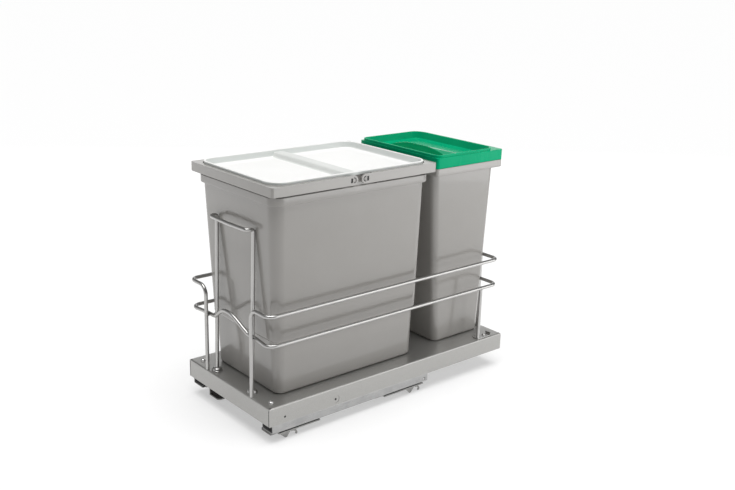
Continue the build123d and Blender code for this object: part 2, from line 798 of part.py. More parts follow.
# ---- write one file for each piece ----
os.makedirs("parts", exist_ok=True)
save(make_tray(), "base_tray")
save(make_screws(), "tray_screws")
save_pair(make_drawer_member, "drawer_member")
save_pair(make_middle_member, "middle_member")
save_pair(make_cabinet_member, "cabinet_member")
save_pair(make_inner_cage, "inner_cage")
save_pair(make_outer_cage, "outer_cage")
save_pair(make_front_cap, "front_cap")
save_brackets()
save(make_upper_rail(), "upper_rail")
save(make_lower_rail(), "lower_rail")
save(make_front_loop(), "front_loop")
save(make_loop_feet(), "loop_feet")
save_pair(make_rear_leg, "rear_leg")
save_pair(make_rear_upright, "rear_upright")
save(make_large_bin(), "large_bin")
save(make_bail(-1), "front_bail")
save(make_bail(1), "rear_bail")
save(make_white_lid(), "white_lid")
save(make_small_bin(), "small_bin")
save(make_green_lid(), "green_lid")
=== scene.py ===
import math
import bpy
import bmesh
import numpy as np
from mathutils import Matrix


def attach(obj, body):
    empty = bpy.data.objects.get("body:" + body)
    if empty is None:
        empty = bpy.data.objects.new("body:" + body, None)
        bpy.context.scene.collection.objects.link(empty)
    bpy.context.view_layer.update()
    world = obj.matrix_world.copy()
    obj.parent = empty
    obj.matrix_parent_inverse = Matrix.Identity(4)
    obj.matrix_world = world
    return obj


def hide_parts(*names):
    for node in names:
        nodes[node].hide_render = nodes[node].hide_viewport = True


# Pull-out waste unit. Metres, +Z up, the front towards -Y. Sizes in the dictionaries are in millimetres.
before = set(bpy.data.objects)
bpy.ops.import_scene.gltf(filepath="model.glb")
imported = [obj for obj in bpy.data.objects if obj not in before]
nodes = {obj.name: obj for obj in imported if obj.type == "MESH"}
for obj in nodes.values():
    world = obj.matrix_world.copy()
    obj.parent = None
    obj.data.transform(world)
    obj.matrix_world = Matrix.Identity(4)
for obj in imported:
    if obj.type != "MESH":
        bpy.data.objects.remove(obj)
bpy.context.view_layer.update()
print("frame loaded:", len(nodes), "nodes")
mm = 0.001
meshDetail = {"cornerSteps": 14, "profileSteps": 4, "leastRun": 1e-6, "leastCorner": 1.0, "bendStep": 6.0,
              "bendPoints": 3, "wireSides": 20, "wireSlant": (0.55, 0.62, 0.56), "mitreLimit": 0.5,
              "mitreShare": 0.5, "turnSteps": 40, "smoothAngle": 35.0}


def unit(vectors):
    return vectors / np.linalg.norm(vectors, axis=-1, keepdims=True)


def fullTurn(steps):
    return np.linspace(0, 2 * math.pi, steps, endpoint=False)


def sideName(name, side):
    return name + ("Right" if side > 0 else "Left")


def linkNew(name, data):
    thing = bpy.data.objects.new(name, data)
    bpy.context.scene.collection.objects.link(thing)
    return thing


def smoothMesh(mesh, material, sharpAngle=meshDetail["smoothAngle"]):
    mesh.polygons.foreach_set("use_smooth", [True] * len(mesh.polygons))
    mesh.set_sharp_from_angle(angle=math.radians(sharpAngle))
    mesh.materials.append(material)


def addMesh(name, points, faces, material):
    mesh = bpy.data.meshes.new(name)
    mesh.from_pydata((np.asarray(points, float) * mm).tolist(), [], faces)
    mesh.update()
    smoothMesh(mesh, material)
    return linkNew(name, mesh)


def gridFaces(rowCount, columnCount, capped=True):
    # one quad for each cell between rows i and i+1 and columns j and j+1, the last column meeting the first;
    # capped also closes the first and last rows with a flat face
    i = np.arange(rowCount - 1)[:, None] * columnCount
    j = np.arange(columnCount)[None, :]
    k = (j + 1) % columnCount
    cells = np.stack([i + j, i + k, i + columnCount + k, i + columnCount + j], -1)
    faces = cells.reshape(-1, 4).tolist()
    if capped:
        faces.append(list(range(columnCount))[::-1])
        faces.append(list(range((rowCount - 1) * columnCount, rowCount * columnCount)))
    return faces


def gridPiece(name, grid, material):
    # a closed surface from its rows of points, with a flat face at each end
    return addMesh(name, grid.reshape(-1, 3), gridFaces(*grid.shape[:2]), material)


def ringGrid(rows):
    # each row (halfWidth, yFront, yRear, z, frontCorner, rearCorner) is a rounded rectangle: four quarter circles of
    # radius corner about points set in from its corners, so point = centre + corner * (cos a, sin a) at height z
    steps = meshDetail["cornerSteps"] + 1
    start = np.repeat([-90.0, 0.0, 90.0, 180.0], steps)
    angle = np.radians(start + np.tile(np.linspace(0, 90, steps), 4))
    sideX = np.repeat([1.0, 1.0, -1.0, -1.0], steps)
    atRear = np.repeat([0.0, 1.0, 1.0, 0.0], steps)
    half, yFront, yRear, z, frontCorner, rearCorner = (rows[:, c][:, None] for c in range(6))
    corner = (1 - atRear) * frontCorner + atRear * rearCorner
    x = sideX * (half - corner) + corner * np.cos(angle)
    y = (1 - atRear) * (yFront + corner) + atRear * (yRear - corner) + corner * np.sin(angle)
    return np.stack([x, y, np.broadcast_to(z, x.shape)], -1)


def softLine(rows, rounds):
    # each inner point becomes a short quadratic curve, which leaves and meets its neighbours' lines at its rounding or
    # at half their length; only the first four columns count as distance, because the others are corner radii
    rows = np.asarray(rows, float)
    soft = [rows[:1]]
    t = np.linspace(0, 1, meshDetail["profileSteps"] + 1)[:, None]
    for before, here, after, radius in zip(rows[:-2], rows[1:-1], rows[2:], rounds):
        ends = []
        for other in (before, after):
            run = max(np.abs((other - here)[:4]).max(), meshDetail["leastRun"])
            ends.append(here + (other - here) * min(0.5, radius / run))
        curve = (1 - t) ** 2 * ends[0] + 2 * t * (1 - t) * here + t ** 2 * ends[1]
        soft.append(curve if radius else here[None])
    soft.append(rows[-1:])
    return np.concatenate(soft)


def shellPiece(name, profile, rounds, material):
    # rounds has one rounding for each inner row of the profile; a row of five has one corner radius for all corners
    rows = [(*row[:3], row[4], row[3], row[3]) if len(row) == 5 else row for row in profile]
    return gridPiece(name, ringGrid(softLine(rows, rounds)), material)


def insetRow(row, inset, z):
    # the same rounded rectangle moved inwards all round
    half, yFront, yRear, corner, _ = row
    return (half - inset, yFront + inset, yRear - inset, max(corner - inset, meshDetail["leastCorner"]), z)


def bentPath(points, radii, closed=False):
    # straight runs joined by circular arcs: an arc of radius r over a turn t starts r*tan(t/2) before its corner
    points = np.asarray(points, float)
    count = len(points)
    corners = range(count) if closed else range(1, count - 1)
    path = [] if closed else [points[:1]]
    for corner, radius in zip(corners, radii):
        here = points[corner]
        inward = unit(here - points[corner - 1])
        outward = unit(points[(corner + 1) % count] - here)
        turn = math.acos(np.clip(inward @ outward, -1, 1))
        centre = here + unit(outward - inward) * radius / math.cos(turn / 2)
        first = here - inward * radius * math.tan(turn / 2) - centre
        steps = max(meshDetail["bendPoints"], int(math.degrees(turn) / meshDetail["bendStep"]) + 1)
        angle = np.linspace(0, turn, steps)[:, None]
        path.append(centre + first * np.cos(angle) + inward * radius * np.sin(angle))
    if not closed:
        path.append(points[-1:])
    return np.concatenate(path)


def wirePiece(name, path, radius, material, closed=False):
    # point = path + radius * (side * cos a - up * sin a), where side is square to the path and to a fixed slant line;
    # a ring at a bend is widened by a share of its mitre
    ahead = np.roll(path, -1, 0) - path
    behind = path - np.roll(path, 1, 0)
    if not closed:
        ahead[-1] = behind[-1]
        behind[0] = ahead[0]
    ahead = unit(ahead)
    along = unit(ahead + unit(behind))
    side = unit(np.cross(along, meshDetail["wireSlant"]))[:, None]
    up = np.cross(side, along[:, None])
    angle = fullTurn(meshDetail["wireSides"])[None, :, None]
    mitre = 1 / np.maximum((along * ahead).sum(1), meshDetail["mitreLimit"])[:, None, None]
    widened = radius * (1 + (mitre - 1) * meshDetail["mitreShare"])
    grid = path[:, None] + widened * (side * np.cos(angle) - up * np.sin(angle))
    if not closed:
        return gridPiece(name, grid, material)
    sides = meshDetail["wireSides"]
    faces = np.mod(gridFaces(len(grid) + 1, sides, capped=False), len(grid) * sides)  # the last ring is the first again
    return addMesh(name, grid.reshape(-1, 3), faces.tolist(), material)


def turnedPiece(name, profile, place, axis, material):
    # profile (radius, height) turned about an axis through place: point = place + height * axis + radius * circle
    radius, height = np.asarray(profile, float).T[:, :, None, None]
    angle = fullTurn(meshDetail["turnSteps"])[:, None]
    axis = np.asarray(axis, float)
    first = np.roll(axis, 1)
    circle = first * np.cos(angle) + np.cross(axis, first) * np.sin(angle)
    return gridPiece(name, np.asarray(place, float) + height * axis + radius * circle, material)


def alongY(name, line, y0, y1, side, material):
    # a closed section in the XZ plane carried along Y; on the left it is mirrored and its order turned round
    x, z = np.asarray(line, float).T
    grid = np.stack([np.stack([side * x, np.full_like(x, y), z], -1) for y in (y0, y1)])
    return gridPiece(name, grid if side > 0 else grid[:, ::-1], material)


def joinPieces(name, parts):
    # the joined piece has the material of its first part
    joined = bmesh.new()
    for part in parts:
        joined.from_mesh(part.data)
    mesh = bpy.data.meshes.new(name)
    joined.to_mesh(mesh)
    joined.free()
    smoothMesh(mesh, parts[0].data.materials[0])
    for part in parts:
        bpy.data.objects.remove(part)
    return linkNew(name, mesh)


def finishPiece(piece, body, slotName, *replaced):
    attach(piece, body)
    if replaced:
        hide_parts(*replaced)
    return piece


# materials: lengths in mm, noise scales in waves per metre
noiseRange = (0.3, 0.7)  # where most of a noise's values lie
moulding = {"rubRange": (0.35, 0.7), "rubStretch": (1, 1, 0.35), "rubRoughness": 0.65, "waveStrength": 0.6,
            "grainStrength": 0.5}
plating = {"cloudRoughness": 0.6, "lineRoughness": 0.5, "lineDepth": 0.01, "lineStrength": 0.5, "metallic": 1.0}


def newMaterial(name):
    material = bpy.data.materials.new(name)
    material.use_nodes = True
    tree = material.node_tree
    return material, tree, tree.nodes["Principled BSDF"]


def fillNode(tree, node, inputs):
    # a socket is linked, any other value is set
    for key, value in inputs.items():
        if hasattr(value, "is_output"):
            tree.links.new(value, node.inputs[key])
        else:
            node.inputs[key].default_value = value


def addNode(tree, kind, inputs, **settings):
    node = tree.nodes.new(kind)
    for key, value in settings.items():
        setattr(node, key, value)
    fillNode(tree, node, inputs)
    return node


def objectPlace(tree):
    return addNode(tree, "ShaderNodeTexCoord", {}).outputs["Object"]


def noise(tree, place, scale, detail, roughness=0.55, stretch=None):
    if stretch:
        place = addNode(tree, "ShaderNodeMapping", {"Vector": place, "Scale": stretch}).outputs["Vector"]
    inputs = {"Vector": place, "Scale": scale, "Detail": detail, "Roughness": roughness}
    return addNode(tree, "ShaderNodeTexNoise", inputs).outputs["Fac"]


def mapped(tree, value, fromRange, toRange):
    # the first range stretched over the second, and held at its ends
    names = ("From Min", "From Max", "To Min", "To Max")
    inputs = {"Value": value, **dict(zip(names, (*fromRange, *toRange)))}
    return addNode(tree, "ShaderNodeMapRange", inputs).outputs["Result"]


def mixed(tree, factor, first, second):
    inputs = {"Factor": factor, "A": first, "B": second}
    return addNode(tree, "ShaderNodeMix", inputs, data_type="RGBA").outputs["Result"]


def tinted(tree, factor, tints):
    return mixed(tree, factor, (*tints[0], 1), (*tints[1], 1))


def bumped(tree, layers):
    # bumps laid one over another: (height, depth, strength)
    normal = {}
    for height, depth, strength in layers:
        inputs = {"Height": height, "Distance": depth * mm, "Strength": strength, **normal}
        normal = {"Normal": addNode(tree, "ShaderNodeBump", inputs).outputs["Normal"]}
    return normal["Normal"]


def mouldedPlastic(name, look):
    # moulded plastic: cloudy tint, fine spark-eroded grain, slow waves from the mould and a few rubbed patches
    material, tree, shader = newMaterial(name)
    place = objectPlace(tree)
    cloud = noise(tree, place, look["cloudScale"], detail=4)
    grain = noise(tree, place, look["grainScale"], detail=2)
    wave = noise(tree, place, look["waveScale"], detail=1)
    rubbed = noise(tree, place, look["rubScale"], 5, moulding["rubRoughness"], moulding["rubStretch"])
    layers = [(wave, look["waveDepth"], moulding["waveStrength"]),
              (grain, look["grainDepth"], moulding["grainStrength"])]
    fillNode(tree, shader, {
        "Base Color": tinted(tree, mapped(tree, cloud, noiseRange, (0, 1)), look["tints"]),
        "Roughness": mapped(tree, rubbed, moulding["rubRange"], look["rough"]), "Normal": bumped(tree, layers),
        "IOR": look["ior"], "Specular IOR Level": look["shine"],
        "Specular Tint": (*look.get("shineTint", (1, 1, 1)), 1),
        "Coat Weight": look["coat"], "Coat Roughness": look["coatRoughness"]})
    return material


def whiteMoulding(name, look):
    # as mouldedPlastic, with painted shade on the sunk tray's walls: they are greyer than its floor and the rim's
    # crest, and the shade follows Object Z
    material = mouldedPlastic(name, look)
    tree = material.node_tree
    shader = tree.nodes["Principled BSDF"]
    height = addNode(tree, "ShaderNodeSeparateXYZ", {"Vector": objectPlace(tree)}).outputs["Z"]
    rise = mapped(tree, height, (look["floorZ"] * mm, look["wallZ"] * mm), (0, 1))
    fall = mapped(tree, height, (look["rimZ"] * mm, look["crestZ"] * mm), (1, 0))
    lower = addNode(tree, "ShaderNodeMath", {0: rise, 1: fall}, operation="MINIMUM").outputs["Value"]
    cloudy = shader.inputs["Base Color"].links[0].from_socket
    fillNode(tree, shader, {"Base Color": mixed(tree, lower, cloudy, (*look["wallShadeTint"], 1))})
    return material


def paintedSteel(name, look):
    # metallic paint: tiny flakes that differ in brightness, a faint orange-peel wave and uneven gloss
    material, tree, shader = newMaterial(name)
    place = objectPlace(tree)
    flake = addNode(tree, "ShaderNodeTexVoronoi", {"Vector": place, "Scale": look["flakeScale"]}).outputs
    cloud = noise(tree, place, look["cloudScale"], detail=4)
    peel = noise(tree, place, look["peelScale"], detail=2)
    layers = [(peel, look["peelDepth"], look["peelStrength"]),
              (flake["Distance"], look["flakeDepth"], look["flakeStrength"])]
    fillNode(tree, shader, {
        "Base Color": tinted(tree, mapped(tree, flake["Color"], (0, 1), (0, 1)), look["tints"]),
        "Roughness": mapped(tree, cloud, noiseRange, look["rough"]), "Normal": bumped(tree, layers),
        "Metallic": look["metallic"], "Coat Weight": look["coat"], "Coat Roughness": look["coatRoughness"]})
    return material


def platedSteel(name, look):
    # plated steel: cloudy zinc tint, rolled lines and uneven gloss
    material, tree, shader = newMaterial(name)
    place = objectPlace(tree)
    cloud = noise(tree, place, look["cloudScale"], 5, plating["cloudRoughness"])
    lines = noise(tree, place, look["lineScale"], 2, plating["lineRoughness"], look["lineStretch"])
    fillNode(tree, shader, {
        "Base Color": tinted(tree, mapped(tree, cloud, noiseRange, (0, 1)), look["tints"]),
        "Roughness": mapped(tree, lines, noiseRange, look["rough"]),
        "Normal": bumped(tree, [(lines, plating["lineDepth"], plating["lineStrength"])]),
        "Metallic": plating["metallic"]})
    return material


greyPlastic = mouldedPlastic("binGrey", {
    "tints": ((0.290, 0.279, 0.263), (0.306, 0.295, 0.279)), "cloudScale": 9, "grainScale": 2600, "grainDepth": 0.02,
    "waveScale": 14, "waveDepth": 0.5, "rubScale": 30, "rough": (0.17, 0.22), "ior": 1.5, "shine": 0.5,
    "coat": 0.5, "coatRoughness": 0.07})
# the lid's white, with painted shade on its sunk walls (wallShadeTint)
whitePlastic = whiteMoulding("lidWhite", {
    "floorZ": 383.2, "wallZ": 385.5, "rimZ": 391.8, "crestZ": 393.3, "wallShadeTint": (0.68, 0.71, 0.69),
    "tints": ((0.90, 0.90, 0.885), (0.93, 0.93, 0.92)), "cloudScale": 12, "grainScale": 2200, "grainDepth": 0.025,
    "waveScale": 16, "waveDepth": 0.3, "rubScale": 40, "rough": (0.35, 0.5), "ior": 1.48, "shine": 0.4,
    "coat": 0.0, "coatRoughness": 0.3})
# painted shade: a greyer copy of the lid's white for the bar, which is moulded in the same white
barShadedWhite = mouldedPlastic("barWhiteShaded", {
    "tints": ((0.71, 0.725, 0.705), (0.75, 0.765, 0.745)), "cloudScale": 12, "grainScale": 2200, "grainDepth": 0.025,
    "waveScale": 16, "waveDepth": 0.2, "rubScale": 40, "rough": (0.35, 0.5), "ior": 1.48, "shine": 0.4,
    "coat": 0.0, "coatRoughness": 0.3})
greenPlastic = mouldedPlastic("lidGreen", {
    "tints": ((0.001, 0.345, 0.160), (0.004, 0.395, 0.188)), "cloudScale": 14, "grainScale": 2400, "grainDepth": 0.015,
    "waveScale": 18, "waveDepth": 0.4, "rubScale": 35, "rough": (0.2, 0.32), "ior": 1.45, "shine": 0.15,
    "shineTint": (0.0, 0.5, 0.28), "coat": 0.0, "coatRoughness": 0.15})
# painted highlight: the grip's tints are a lighter copy of the lid's green, which it shares; its lower roughness and
# coat are its own gloss
gripLitGreen = mouldedPlastic("gripGreenLit", {
    "tints": ((0.004, 0.40, 0.185), (0.010, 0.46, 0.220)), "cloudScale": 14, "grainScale": 2400, "grainDepth": 0.005,
    "waveScale": 22, "waveDepth": 0.6, "rubScale": 35, "rough": (0.12, 0.2), "ior": 1.5, "shine": 0.7,
    "coat": 0.9, "coatRoughness": 0.08})
blackPlastic = mouldedPlastic("capBlack", {
    "tints": ((0.012, 0.012, 0.013), (0.022, 0.022, 0.023)), "cloudScale": 60, "grainScale": 3000, "grainDepth": 0.02,
    "waveScale": 60, "waveDepth": 0.1, "rubScale": 90, "rough": (0.35, 0.55), "ior": 1.5, "shine": 0.4,
    "coat": 0.0, "coatRoughness": 0.3})
trayPaint = paintedSteel("trayPaint", {
    "tints": ((0.345, 0.34, 0.327), (0.45, 0.445, 0.43)), "flakeScale": 2600, "flakeDepth": 0.02,
    "flakeStrength": 0.25, "cloudScale": 12, "peelScale": 420, "peelDepth": 0.05, "peelStrength": 0.5,
    "rough": (0.3, 0.4), "metallic": 0.75, "coat": 0.25, "coatRoughness": 0.2})
wireNickel = platedSteel("wireNickel", {
    "tints": ((0.45, 0.445, 0.435), (0.51, 0.505, 0.495)), "cloudScale": 30, "lineScale": 700,
    "lineStretch": (1, 1, 1), "rough": (0.29, 0.37)})
# the slides' plating, toned darker: partly its own grey, partly painted shade for the shade under the tray flange
slideSteel = platedSteel("slideSteel", {
    "tints": ((0.36, 0.36, 0.36), (0.43, 0.43, 0.425)), "cloudScale": 60, "lineScale": 900,
    "lineStretch": (1, 0.04, 1), "rough": (0.25, 0.45)})
screwSteel = platedSteel("screwSteel", {
    "tints": ((0.72, 0.72, 0.71), (0.80, 0.80, 0.79)), "cloudScale": 60, "lineScale": 900,
    "lineStretch": (1, 1, 1), "rough": (0.25, 0.35)})
# zinc plating of the parts under the tray, darker than the screws' bright copy: partly its own tone, partly painted
# shade for the shade under the tray
zincSteel = platedSteel("zincSteel", {
    "tints": ((0.26, 0.26, 0.255), (0.34, 0.335, 0.325)), "cloudScale": 140, "lineScale": 800,
    "lineStretch": (1, 0.1, 1), "rough": (0.28, 0.5)})
print("materials made")

slotMaterials = {"tray_paint": trayPaint, "bright_wire": wireNickel, "slide_steel": slideSteel, "zinc": zincSteel,
                 "grey_plastic": greyPlastic, "white_plastic": whitePlastic, "green_plastic": greenPlastic,
                 "black_plastic": blackPlastic}
for node in nodes.values():
    for index, old in enumerate(node.data.materials):
        if old.name in slotMaterials:
            node.data.materials[index] = slotMaterials[old.name]

# large bin; its profile and rounds run from the base up the outside, round the skirt and rim, and down the inside
largeBin = {"bottomHalf": 85.5, "yFront": -214.5, "yRear": 60.0, "corner": 20.0, "lowCorner": 14.0, "floor": 60.3,
            "bodyHeight": 299.7, "height": 327.3, "sideDraft": 13.0, "frontDraft": 13.5, "rearDraft": 1.0,
            "stepHeight": 85.0, "step": 3.0, "stepRamp": 3.0, "wall": 2.0, "skirtReach": 4.0, "skirtHeight": 12.0,
            "flange": 2.0, "baseInset": 9.0, "floorInset": 8.0,
            "rounds": (5.0, 0.7, 1.2, 0, 0.3, 0.5, 0.4, 1.2, 0.8, 0.5, 0.5, 0.5, 0, 1.2, 0.7, 4.0)}
pivotPins = {"start": 100.5, "spacerEnd": 107.4, "end": 110.4, "spacer": 3.2, "radius": 2.2, "z": 382.7,
             "frontY": -94.5, "rearY": -72.5, "edge": 0.4}


def largeRow(share, step, inset, z, size=largeBin):
    # the body widens with its share of the draft, and once more by the step above the low ledge
    corner = size["lowCorner"] + share * (size["corner"] - size["lowCorner"])
    return (size["bottomHalf"] + share * size["sideDraft"] + step - inset,
            size["yFront"] - share * size["frontDraft"] - step + inset,
            size["yRear"] + share * size["rearDraft"] + step - inset, corner - inset, z)


def makeLargeBin(size=largeBin):
    low, wall, reach, step = size["floor"], size["wall"], size["skirtReach"], size["step"]
    bodyTop = low + size["bodyHeight"]
    rimTop = low + size["height"]
    ledge = low + size["stepHeight"]
    stepTop = ledge + size["stepRamp"]
    share = size["stepHeight"] / size["bodyHeight"]
    flangeTop = bodyTop + size["skirtHeight"]
    underFlange = flangeTop - size["flange"]

    def rimRow(out, z):
        half, yFront, yRear, _, z = largeRow(1, step, -out, z)
        return (half, yFront, yRear, size["corner"], z)

    profile = [
        insetRow(largeRow(0, 0, 0, low), size["baseInset"], low), largeRow(0, 0, 0, low),
        largeRow(share, 0, 0, ledge), largeRow(share, step, 0, stepTop), largeRow(1, step, 0, bodyTop),
        rimRow(0, underFlange), rimRow(reach - wall, underFlange), rimRow(reach - wall, bodyTop),
        rimRow(reach, bodyTop), rimRow(reach, flangeTop), rimRow(0, flangeTop),
        largeRow(1, step, 0, rimTop), largeRow(1, step, wall, rimTop), largeRow(1, step, wall, bodyTop),
        largeRow(share, step, wall, stepTop), largeRow(share, 0, wall, ledge), largeRow(0, 0, wall, low + wall),
        insetRow(largeRow(0, 0, wall, low + wall), size["floorInset"], low + wall)]
    return shellPiece("largeBinShell", profile, size["rounds"], greyPlastic)


def makePivotPins(size=pivotPins):
    # a thick spacer, then the thinner pin that the bail's lug clips over
    spacer, radius, edge = size["spacer"], size["radius"], size["edge"]
    profile = [(spacer, size["start"]), (spacer, size["spacerEnd"] - edge), (spacer - edge, size["spacerEnd"]),
               (radius, size["spacerEnd"]), (radius, size["end"] - edge), (radius - edge, size["end"])]
    return joinPieces("pivotPins", [turnedPiece("pin", profile, (0, y, size["z"]), (side, 0, 0), greyPlastic)
                                    for side in (-1, 1) for y in (size["frontY"], size["rearY"])])


finishPiece(makeLargeBin(), "large_bin", "grey_plastic", "large_bin")
finishPiece(makePivotPins(), "large_bin", "grey_plastic")
print("large bin made")

# small bin, in the same order; its body narrows downwards and a straight band hangs round the rim
smallBin = {"half": 88.6, "yFront": 91.8, "yRear": 233.1, "corner": 12.0, "floor": 60.3, "bodyHeight": 301.8,
            "height": 321.0, "sideDraft": 13.5, "frontDraft": 30.0, "rearDraft": 1.0, "wall": 2.0, "bandHeight": 12.3,
            "bandHalf": 97.6, "bandFront": 88.6, "bandRear": 242.7, "bandCorner": 5.0, "flange": 2.0,
            "baseInset": 8.0, "floorInset": 12.0, "rounds": (5.0, 0, 0.3, 0.4, 0.3, 0.6, 0.5, 0.3, 0.5, 0.5, 0, 4.0)}


def smallRow(share, inset, z, size=smallBin):
    return (size["half"] - share * size["sideDraft"] - inset, size["yFront"] + share * size["frontDraft"] + inset,
            size["yRear"] - share * size["rearDraft"] - inset, size["corner"] - inset, z)


def bandRow(inset, z, size=smallBin):
    return (size["bandHalf"] - inset, size["bandFront"] + inset, size["bandRear"] - inset,
            size["bandCorner"] - inset, z)


def makeSmallBin(size=smallBin):
    low, wall = size["floor"], size["wall"]
    bodyTop = low + size["bodyHeight"]
    top = low + size["height"]
    bandTop = bodyTop + size["bandHeight"]
    underFlange = bandTop - size["flange"]
    bottom = smallRow(1, 0, low)
    profile = [
        insetRow(bottom, size["baseInset"], low), bottom, smallRow(0, 0, bodyTop), smallRow(0, 0, underFlange),
        bandRow(wall, underFlange), bandRow(wall, bodyTop), bandRow(0, bodyTop), bandRow(0, bandTop),
        smallRow(0, 0, bandTop), smallRow(0, 0, top), smallRow(0, wall, top), smallRow(0, wall, bodyTop),
        smallRow(1, wall, low + wall), insetRow(bottom, size["floorInset"], low + wall)]
    return shellPiece("smallBinShell", profile, size["rounds"], greyPlastic)


finishPiece(makeSmallBin(), "small_bin", "grey_plastic", "small_bin")
print("small bin made")

# wire basket: one round wire for each rail and for the loop, with welds, ferrules, feet and screws
basket = {"radius": 3.0, "railHalf": 109.0, "railRear": 236.0, "legY": -246.8, "lowerFront": -241.1,
          "loopY": -235.4, "trayTop": 60.0, "lowerZ": 154.0, "upperZ": 200.0, "legHalf": 63.5, "legBend": 15.0,
          "railCorner": 13.0, "crimpReach": 4.0, "crimpBend": 20.0, "humpFoot": 47.0, "humpFootBend": 16.0,
          "humpCrest": 12.0, "humpCrestBend": 36.0, "humpHeight": 22.5,
          "loopHalf": 50.0, "loopHeight": 256.5, "loopLean": 5.0, "loopHook": 11.5, "loopBow": 3.0,
          "loopBend": 4.5, "loopCorner": 6.5, "loopBowBend": 400.0,
          "uprightHalf": 63.5, "uprightY": 241.7, "rearLegY": 196.5}


def makeUpperRail(size=basket):
    leg, rail, legY, rear = size["legHalf"], size["railHalf"], size["legY"], size["railRear"]
    low, high = size["trayTop"], size["upperZ"]
    points = [(leg, legY, low), (leg, legY, high), (rail, legY, high), (rail, rear, high), (-rail, rear, high),
              (-rail, legY, high), (-leg, legY, high), (-leg, legY, low)]
    radii = [size["legBend"]] + 4 * [size["railCorner"]] + [size["legBend"]]
    return wirePiece("upperRailWire", bentPath(points, radii), size["radius"], wireNickel)


def makeLowerRail(size=basket):
    # crimped back behind the legs, with the finger hump leaning forward again between them
    rail, legY, back, rear, z = size["railHalf"], size["legY"], size["lowerFront"], size["railRear"], size["lowerZ"]
    crimp = size["legHalf"] + size["crimpReach"]
    half = [(rail, rear, z), (rail, legY, z), (crimp, back, z), (size["humpFoot"], back, z),
            (size["humpCrest"], legY, z + size["humpHeight"])]
    points = [(-x, y, height) for x, y, height in half] + half[::-1]
    bends = [size["railCorner"], size["railCorner"], size["crimpBend"], size["humpFootBend"], size["humpCrestBend"]]
    path = bentPath(points, bends + bends[::-1], closed=True)
    return wirePiece("lowerRailWire", path, size["radius"], wireNickel, closed=True)


def loopFoot(size=basket):
    # the loop leans back as it rises, and passes loopY at the lower rail
    return size["loopY"] - size["loopLean"] / size["loopHeight"] * (size["lowerZ"] - size["trayTop"])


def makeFrontLoop(size=basket):
    half, low, foot = size["loopHalf"], size["trayTop"], loopFoot()
    top = low + size["loopHeight"]
    head = foot + size["loopLean"]
    hook = head - size["loopHook"]
    points = [(-half, foot, low), (-half, head, top), (-half, hook, top), (0, hook - size["loopBow"], top),
              (half, hook, top), (half, head, top), (half, foot, low)]
    bends = [size["loopBend"], size["loopCorner"], size["loopBowBend"], size["loopCorner"], size["loopBend"]]
    return wirePiece("frontLoopWire", bentPath(points, bends), size["radius"], wireNickel)


welds = {"radius": 1.9, "length": 3.0, "rings": 9, "sides": 16, "ripple": 0.12, "waves": 5, "turnStep": 1.7,
         "guide": (0.3, 0.4, 0.87), "legRise": 2.2, "legSlant": 0.2, "loopRise": 2.4, "rearDrop": 2.2, "footDrop": 3.0}


def weldBead(place, along, turn, size=welds):
    # an ellipsoid, point = place + R(v) * (length * cos v * along + radius * sin v * circle(u)), rippled by
    # R(v) = 1 + ripple * sin(waves * v + turn), with one point at each pole
    sides = size["sides"]
    v = np.linspace(0, math.pi, size["rings"])[:, None, None]
    u = fullTurn(sides)[None, :, None]
    along = unit(np.asarray(along, float))
    first = unit(np.cross(along, size["guide"]))
    ripple = 1 + size["ripple"] * np.sin(size["waves"] * v + turn)
    circle = first * np.cos(u) + np.cross(along, first) * np.sin(u)
    surface = size["radius"] * np.sin(v) * circle - size["length"] * np.cos(v) * along
    grid = np.asarray(place, float) + ripple * surface
    points = np.concatenate([grid[:1, 0], grid[1:-1].reshape(-1, 3), grid[-1:, 0]])
    last = len(points) - 1
    j = np.arange(sides)
    k = (j + 1) % sides
    start = np.stack([np.zeros(sides, int), 1 + k, 1 + j], 1).tolist()
    body = np.add(1, gridFaces(size["rings"] - 2, sides, capped=False)).tolist()
    end = np.stack([np.full(sides, last), last - sides + j, last - sides + k], 1).tolist()
    return addMesh("bead", points, start + body + end, wireNickel)


def makeWelds(size=basket, bead=welds):
    # (x, y, z, direction) of each bead: rail on leg, rail on loop, rail on rear upright, rail on rear leg
    rows = []
    low = size["lowerZ"]
    loopShift = size["loopLean"] / size["loopHeight"]
    legSeam = (size["legY"] + size["lowerFront"]) / 2
    loopSeam = (size["loopY"] + size["lowerFront"]) / 2
    rearSeam = (size["railRear"] + size["uprightY"]) / 2
    for side in (-1, 1):
        leg, loop, rear = (side * size[half] for half in ("legHalf", "loopHalf", "uprightHalf"))
        rows += [(leg, legSeam, low + up * bead["legRise"], (1, 0, up * bead["legSlant"])) for up in (1, -1)]
        rows += [(loop, loopSeam + up * loopShift, low + up * bead["loopRise"], (1, 0, 0)) for up in (1, -1)]
        rows += [(rear, rearSeam, railZ - bead["rearDrop"], (1, 0, 0)) for railZ in (low, size["upperZ"])]
        rows.append((side * size["railHalf"], size["rearLegY"], low - bead["footDrop"], (0, 1, 0)))
    beads = [weldBead(row[:3], row[3], bead["turnStep"] * i) for i, row in enumerate(rows)]
    return joinPieces("weldBeads", beads)


ferrule = {"flange": 8.8, "flangeHeight": 1.4, "lowEdge": 0.3, "edge": 0.4, "waist": 7.8, "shoulder": 1.6, "top": 5.6,
           "collar": 3.4, "domeSteps": 7}


